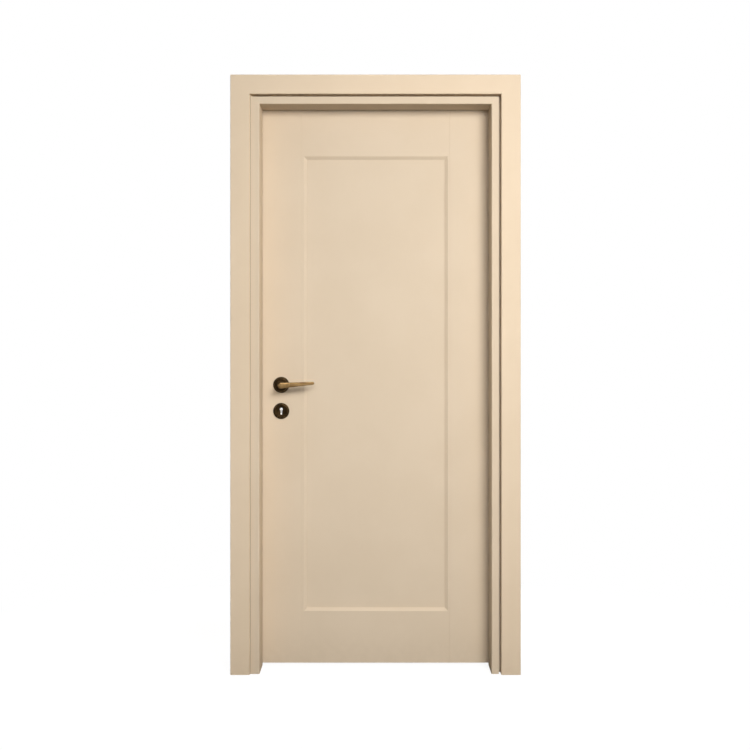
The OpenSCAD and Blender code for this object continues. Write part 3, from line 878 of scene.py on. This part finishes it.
@dataclass
class ScrewSet:
    """Raised countersunk screws with a cross recess, modelled once and copied to each plate."""

    head_radius: float = 0.0041
    head_rise: float = 0.0006
    seat: float = 0.0012
    recess: float = 0.0022
    recess_width: float = 0.00045
    recess_depth: float = 0.0003
    model: bpy.types.Object | None = None

    def prepare(self) -> None:
        """Model one screw head at the origin, facing along +x."""
        head = disc("screw_head", self.head_radius, (-self.seat, 0, 0), (0, math.pi / 2, 0), True, 32)
        wide, high = 1.0, -self.seat
        for share, rise in ((1.0, 0.0), (0.93, 0.35), (0.78, 0.7), (0.45, 0.95)):
            push((self.head_rise * rise - high, 0, 0), (1, share / wide, share / wide), (0, 0, 0))
            wide, high = share, self.head_rise * rise
        close_up(head, 50.0)
        for name, half_y, half_z in (("flat", self.recess, self.recess_width), ("tall", self.recess_width, self.recess)):
            cutter = close_up(block(name, (-self.recess_depth, -half_y, -half_z), (0.002, half_y, half_z)))
            combine(head, cutter, "DIFFERENCE")
        self.model = head

    def fit(self, name: str, spots: Iterable[Sequence[float]], towards: int, angle: float) -> bpy.types.Object:
        """Copy the screw to several places and join the copies.

        Args:
            name: The joined piece's name.
            spots: Where each head's seat is.
            towards: 1 if the heads face +x, -1 if they face -x.
            angle: Turn of the first recess about x, in radians; each next one differs.

        Returns:
            The joined screws.
        """
        heads = []
        for number, spot in enumerate(spots):
            head = copied(self.model, f"{name}_{number}")
            head.rotation_euler = (angle + 0.9 * number, 0, 0 if towards > 0 else math.pi)
            head.location = spot
            bpy.ops.object.transform_apply(location=True, rotation=True, scale=True)
            heads.append(head)
        return joined(heads, name)

    def clear(self) -> None:
        """Remove the model that the copies came from."""
        bpy.data.objects.remove(self.model)


@dataclass
class Hinge:
    """One butt hinge: two plates let into the wood, five knuckles and a pin with turned finials."""

    label: str
    middle: float
    axis_x: float = -0.0315
    axis_y: float = 0.0765
    length: float = 0.100
    knuckle_radius: float = 0.006
    knuckle_gap: float = 0.0004
    gap: float = 0.005
    thickness: float = 0.0025
    plate_width: float = 0.032
    axis_offset: float = 0.0065
    pin_radius: float = 0.003

    def _knuckle(self, number: int) -> bpy.types.Object:
        """Model one knuckle with eased rims, bored for the pin."""
        each = (self.length - 4 * self.knuckle_gap) / 5
        foot = self.middle - self.length / 2 + number * (each + self.knuckle_gap)
        ease = 0.0005
        centre = (self.axis_x, self.axis_y, foot)
        wide = self.knuckle_radius
        piece = disc(f"knuckle_{number}", wide - ease, centre, (0, 0, 0), False, 40)
        bpy.ops.mesh.select_mode(type="EDGE")
        grow = wide / (wide - ease)
        bore = (self.pin_radius + 0.0001) / (wide - ease)
        push((0, 0, ease), (grow, grow, 1), centre)
        push((0, 0, each - 2 * ease))
        push((0, 0, ease), (1 / grow, 1 / grow, 1), centre)
        push((0, 0, 0), (bore, bore, 1), centre)
        push((0, 0, -each))
        pick(piece, "edges", lambda edge: edge.is_boundary)
        bpy.ops.mesh.bridge_edge_loops()
        return close_up(piece)

    def _plate(self, side: int) -> bpy.types.Object:
        """Model a plate with the two corners along its far edge eased.

        Args:
            side: 1 in the jamb, -1 in the leaf.

        Returns:
            The plate.
        """
        inner = self.axis_x + side * self.gap / 2
        outer = inner + side * self.thickness
        low = (min(inner, outer), self.axis_y - self.axis_offset - self.plate_width, self.middle - self.length / 2)
        high = (max(inner, outer), self.axis_y - self.axis_offset, self.middle + self.length / 2)
        plate = block("plate", low, high)
        pick(plate, "edges", lambda edge: all(v.co.y < low[1] + 1e-6 for v in edge.verts) and abs(edge.verts[0].co.x - edge.verts[1].co.x) > 1e-4)
        bpy.ops.mesh.bevel(offset=0.0006, segments=3)
        return close_up(plate)

    def _bend(self, side: int, number: int) -> bpy.types.Object:
        """Model the strap that leads one knuckle into its plate."""
        each = (self.length - 4 * self.knuckle_gap) / 5
        foot = self.middle - self.length / 2 + number * (each + self.knuckle_gap)
        inner = self.axis_x + side * self.gap / 2
        outer = inner + side * self.thickness
        low = (min(inner, outer), self.axis_y - self.axis_offset - 0.001, foot)
        high = (max(inner, outer), self.axis_y - 0.0005, foot + each)
        return close_up(block(f"strap_{number}", low, high))

    def _pin(self) -> bpy.types.Object:
        """Turn the pin with its stepped, domed finials."""
        half = self.length / 2
        centre = (self.axis_x, self.axis_y, self.middle - half - 0.0062)
        pin = disc("pin", 0.0009, centre, (0, 0, 0), True, 40)
        steps = (
            (0.0024, 0.0006), (0.0037, 0.0018), (0.0040, 0.0029), (0.0034, 0.0038), (0.0036, 0.0042), (0.0050, 0.0045),
            (0.0050, 0.0060), (0.0030, 0.0062),
        )
        profile = [(0.0009, 0.0), *steps]
        full = 2 * half + 0.0124
        profile += [(wide, full - high) for wide, high in reversed(profile)]
        radius, height = profile[0]
        for wide, high in profile[1:]:
            push((0, 0, high - height), (wide / radius, wide / radius, 1), centre)
            radius, height = wide, high
        return close_up(pin)

    def build(self, kit: Kit, screws: ScrewSet) -> None:
        """Model both halves and their screws.

        Args:
            kit: The finishes.
            screws: The screws.
        """
        halves = (("frame", 1, (0, 2, 4), "frame"), ("door", -1, (1, 3), "door_leaf"))
        for half, side, numbers, body in halves:
            parts = [self._plate(side)]
            parts += [self._knuckle(number) for number in numbers]
            parts += [self._bend(side, number) for number in numbers]
            if side > 0:
                parts.append(self._pin())
            whole = joined(parts, f"{self.label}_hinge_{half}_half")
            kit.place(whole, body, "hinge_steel", "hinge_steel", f"{self.label}_hinge_{half}_leaf")
            face_x = self.axis_x + side * self.gap / 2
            spots = []
            for number, rise in enumerate((-0.036, -0.012, 0.012, 0.036)):
                across = self.plate_width * (0.36 if number % 2 else 0.66)
                spots.append((face_x, self.axis_y - self.axis_offset - across, self.middle + rise))
            fixings = screws.fit(f"{self.label}_hinge_{half}_screws", spots, -side, 0.4 * side + self.middle)
            kit.place(fixings, body, "hinge_steel", "hinge_steel")


@dataclass
class LockScrews:
    """The screws that hold the forend in the leaf's edge and the strike plate in the jamb."""

    middle_y: float = 0.050
    forend_face: float = -0.864
    forend_heights: tuple[float, ...] = (0.861, 1.072)
    strike_face: float = -0.871
    strike_heights: tuple[float, ...] = (0.882, 1.038)

    def build(self, kit: Kit, screws: ScrewSet) -> None:
        """Fit the screws.

        Args:
            kit: The finishes.
            screws: The screws.
        """
        forend = screws.fit("forend_screws", self._spots(self.forend_face, self.forend_heights), -1, 0.3)
        kit.place(forend, "door_leaf", "lock_brass", "lock_brass")
        strike = screws.fit("strike_screws", self._spots(self.strike_face, self.strike_heights), 1, 0.8)
        kit.place(strike, "frame", "steel", "lock_steel")

    def _spots(self, face: float, heights: tuple[float, ...]) -> list[tuple[float, float, float]]:
        """Give the seats of a plate's screws."""
        return [(face, self.middle_y, height) for height in heights]


@dataclass(frozen=True)
class SoftLamp:
    """A round softbox that lights the door and isn't seen itself."""

    name: str
    place: tuple[float, float, float]
    aim: tuple[float, float, float]
    size: float
    power: float
    spread: float = 180.0

    def hang(self) -> None:
        """Hang the lamp and turn it to its aim."""
        data = bpy.data.lights.new(self.name, "AREA")
        data.shape = "DISK"
        data.size = self.size
        data.energy = self.power
        data.spread = math.radians(self.spread)
        lamp = bpy.data.objects.new(self.name, data)
        lamp.location = self.place
        lamp.rotation_euler = (Vector(self.aim) - Vector(self.place)).to_track_quat("-Z", "Y").to_euler()
        lamp.visible_camera = False
        bpy.context.scene.collection.objects.link(lamp)


@dataclass
class Studio:
    """The camera at the photograph's place, softboxes before and behind the door, the sky and the floor."""

    camera_at: tuple[float, float, float] = (-0.4518, -3.58, 1.197)
    lens: float = 48.14
    shift: float = -0.0573
    sky: float = 0.13
    floor_lift: float = 0.90
    lamps: tuple[SoftLamp, ...] = (
        SoftLamp("front_key", (0.44, -2.45, 2.25), (-0.40, 0.0, 0.95), 0.95, 40.5),
        SoftLamp("front_near_key", (0.56, -1.95, 2.15), (-0.40, 0.0, 0.95), 0.95, 14.2),
        SoftLamp("front_low_fill", (0.15, -4.60, 2.20), (-0.38, 0.0, 0.0), 1.8, 3.4, 40.0),
        SoftLamp("front_left_fill", (-0.70, -4.50, 2.35), (-0.85, 0.0, 1.2), 1.4, 6.5, 70.0),
        SoftLamp("rear_key", (-1.60, 2.60, 2.50), (-0.45, 0.0, 1.1), 1.2, 50.0),
        SoftLamp("rear_fill", (-0.30, 4.60, 1.90), (-0.45, 0.0, 1.1), 2.6, 78.0),
    )

    def _camera(self) -> None:
        """Set the camera up."""
        data = bpy.data.cameras.new("camera")
        data.lens = self.lens
        data.sensor_width = 36.0
        data.shift_y = self.shift
        camera = bpy.data.objects.new("camera", data)
        camera.location = self.camera_at
        camera.rotation_euler = (math.pi / 2, 0, 0)
        bpy.context.scene.collection.objects.link(camera)
        bpy.context.scene.camera = camera

    @staticmethod
    def _seen(tree: bpy.types.NodeTree) -> bpy.types.NodeSocket:
        """Give 1 for a ray from the camera, a gloss or a glass, and 0 for light on a surface."""
        path = tree.nodes.new("ShaderNodeLightPath")
        total = path.outputs["Is Camera Ray"]
        for name in ("Is Glossy Ray", "Is Transmission Ray"):
            larger = tree.nodes.new("ShaderNodeMath")
            larger.operation = "MAXIMUM"
            tree.links.new(total, larger.inputs[0])
            tree.links.new(path.outputs[name], larger.inputs[1])
            total = larger.outputs[0]
        return total

    def _world(self) -> None:
        """Make the sky white where it is seen and dimmer as a light."""
        world = bpy.data.worlds.new("studio")
        world.use_nodes = True
        bpy.context.scene.world = world
        tree = world.node_tree
        strength = tree.nodes.new("ShaderNodeMapRange")
        strength.inputs["To Min"].default_value = self.sky
        tree.links.new(self._seen(tree), strength.inputs["Value"])
        tree.nodes["Background"].inputs["Color"].default_value = (1.0, 1.0, 1.0, 1.0)
        tree.links.new(strength.outputs["Result"], tree.nodes["Background"].inputs["Strength"])

    def _floor(self) -> None:
        """Lay a pale floor that keeps the door's shadow and fades to white."""
        clear_selection()
        bpy.ops.mesh.primitive_grid_add(x_subdivisions=8, y_subdivisions=8, size=30.0, location=(-0.45, 0.0, 0.0))
        floor = bpy.context.object
        floor.name = "studio_floor"
        bpy.ops.object.transform_apply(location=True, rotation=True, scale=True)
        sheet = Sheet("studio_floor")
        away = sheet.add("ShaderNodeVectorMath", {0: sheet.mapped((0.62, 1, 0), (-0.45, 0, 0))}, operation="LENGTH")
        far = sheet.range(away.outputs["Value"], (0.35, 1.25), (0.0, 1.0))
        seen = self._seen(sheet.tree)
        lift = sheet.range(far, (0.0, 1.0), (self.floor_lift, 1.0))
        glow = sheet.maths("MULTIPLY", seen, lift)
        tone = sheet.blend(sheet.maths("MULTIPLY", seen, far), (0.16, 0.158, 0.155), (0.0, 0.0, 0.0))
        sheet.shader.inputs["Emission Color"].default_value = (1.0, 1.0, 1.0, 1.0)
        floor.data.materials.append(
            sheet.finish(Base_Color=tone, Roughness=0.9, Specular_IOR_Level=0.0, Emission_Strength=glow)
        )

    def build(self) -> None:
        """Set the whole studio up."""
        bpy.context.scene.view_settings.view_transform = "Standard"
        self._camera()
        for lamp in self.lamps:
            lamp.hang()
        self._world()
        self._floor()
        LOG.info("studio is set")


def finishes() -> dict[str, bpy.types.Material]:
    """Build every finish once.

    Returns:
        The materials by key.
    """
    # Radii of the rosette's rims, where the rubbed rings with their painted highlight sit.
    rings = (0.0275, 0.0230, 0.0125)
    leaf_tones = ((0.735, 0.600, 0.444), (0.714, 0.580, 0.425), (0.605, 0.482, 0.345))
    # Painted shade: the darker, greyer tone of the hinge-side and head reveals.
    inner = (0.640, 0.545, 0.430)
    made = {
        "casing_upright": CreamPaint("cream_lacquer_casing_upright", Grain.UPRIGHT),
        "casing_level": CreamPaint("cream_lacquer_casing_level", Grain.LEVEL),
        "jamb_hinge_side": CreamPaint("cream_lacquer_jamb_hinge_side", Grain.UPRIGHT, *leaf_tones, inner, 0.0),
        # The lock-side jamb gets a painted shadow line at its seam with the casing.
        "jamb_lock_side": CreamPaint(
            "cream_lacquer_jamb_lock_side", Grain.UPRIGHT, *leaf_tones, sheen=0.0, seam=-0.889
        ),
        "jamb_level": CreamPaint("cream_lacquer_jamb_level", Grain.LEVEL, *leaf_tones, inner, 0.0),
        "leaf_upright": CreamPaint("cream_lacquer_leaf_upright", Grain.UPRIGHT, *leaf_tones),
        "leaf_level": CreamPaint("cream_lacquer_leaf_level", Grain.LEVEL, *leaf_tones),
        "rose_bronze": PatinatedBronze("patinated_bronze_rose", SPINDLE, rings),
        "plate_bronze": PatinatedBronze("patinated_bronze_plate", KEYHOLE, (0.0280, 0.0242)),
        "antique_brass": AntiqueBrass("antique_brass_lever"),
        "lock_brass": AntiqueBrass("satin_brass_lock", (1.0, 1.0, 0.12), (0.30, 0.20, 0.09), (0.52, 0.38, 0.19), (0.62, 0.48, 0.27)),
        "steel": BrushedSteel("satin_steel_lock"),
        "hinge_steel": BrushedSteel("satin_steel_hinge", (0.50, 0.475, 0.43), (0.33, 0.29, 0.24)),
        "rubber": SealRubber("seal_rubber"),
    }
    return {key: finish.material() for key, finish in made.items()}


def main() -> None:
    """Dress the door, model its fittings and set the studio."""
    logging.basicConfig(level=logging.INFO, format="%(name)s: %(message)s")
    for leftover in list(bpy.data.objects):
        bpy.data.objects.remove(leftover)
    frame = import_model()
    kit = Kit(finishes())
    Woodwork().dress(kit, frame["nodes"])
    Ironmongery().dress(kit, frame["nodes"])
    RoseSet().build(kit)
    LeverPair().build(kit)
    screws = ScrewSet()
    screws.prepare()
    for label, middle in (("top", 1.785), ("middle", 1.006), ("bottom", 0.227)):
        Hinge(label, middle).build(kit, screws)
    LockScrews().build(kit, screws)
    screws.clear()
    Studio().build()
    bpy.context.view_layer.update()


if __name__ == "__main__":
    main()
